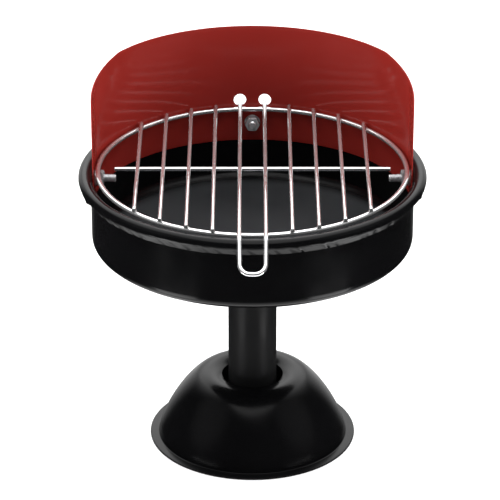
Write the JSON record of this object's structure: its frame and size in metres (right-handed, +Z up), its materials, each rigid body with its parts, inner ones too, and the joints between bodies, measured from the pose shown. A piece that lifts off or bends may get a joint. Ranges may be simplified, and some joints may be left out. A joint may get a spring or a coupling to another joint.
{
  "type": "portable tabletop grill",
  "caption": "Small round charcoal grill for a table: enamelled fire bowl on a domed pedestal, curved wind shield behind it, and a chromed wire cooking grid that tips up by its loop handle.",
  "frame": {"origin": "centre of the bounding box at table level; the upright axis of bowl, tube and foot stands 10.25 mm behind it, towards +Y, because the handle reaches forward", "axes": "+Z up along the pedestal, -Y towards the cook and the loop handle, +Y towards the wind shield, +X to the cook's right"},
  "size_m": [0.252, 0.2725, 0.2816],
  "materials": {
    "red_enamel": "glossy red heat-proof enamel on sheet steel",
    "black_enamel": "glossy black enamel on sheet steel",
    "chromed_wire": "bright chromed steel wire",
    "zinc_steel": "bright zinc-plated steel"
  },
  "bodies": {
    "stand": {"base_dome": "black_enamel", "pedestal_tube": "black_enamel", "fire_bowl": "black_enamel", "wind_shield": "red_enamel", "tie_rod": "zinc_steel", "floor_washer": "zinc_steel", "floor_nut": "zinc_steel", "foot_washer": "zinc_steel", "rear_bolt": "zinc_steel", "rear_washer": "zinc_steel", "rear_nut": "zinc_steel", "left_bolt": "zinc_steel", "left_washer": "zinc_steel", "left_nut": "zinc_steel", "right_bolt": "zinc_steel", "right_washer": "zinc_steel", "right_nut": "zinc_steel"},
    "cooking_grid": {"grid_ring": "chromed_wire", "grid_crossbar": "chromed_wire", "grid_bar_1": "chromed_wire", "grid_bar_2": "chromed_wire", "grid_bar_3": "chromed_wire", "grid_bar_4": "chromed_wire", "grid_bar_5": "chromed_wire", "grid_bar_6": "chromed_wire", "grid_bar_7": "chromed_wire", "grid_bar_8": "chromed_wire", "grid_handle": "chromed_wire"},
    "wing_nut": {"wing_nut": "zinc_steel"}
  },
  "joints": [
    {"name": "grid_tilt", "type": "hinge", "parent": "stand", "child": "cooking_grid", "pos_m": [0, 0.12565, 0.2192], "axis": [-1, 0, 0], "range_deg": [0, 15]},
    {"name": "wing_nut_turn", "type": "hinge", "parent": "stand", "child": "wing_nut", "pos_m": [0, 0.01025, 0.03], "axis": [0, 0, 1], "continuous": true}
  ]
}
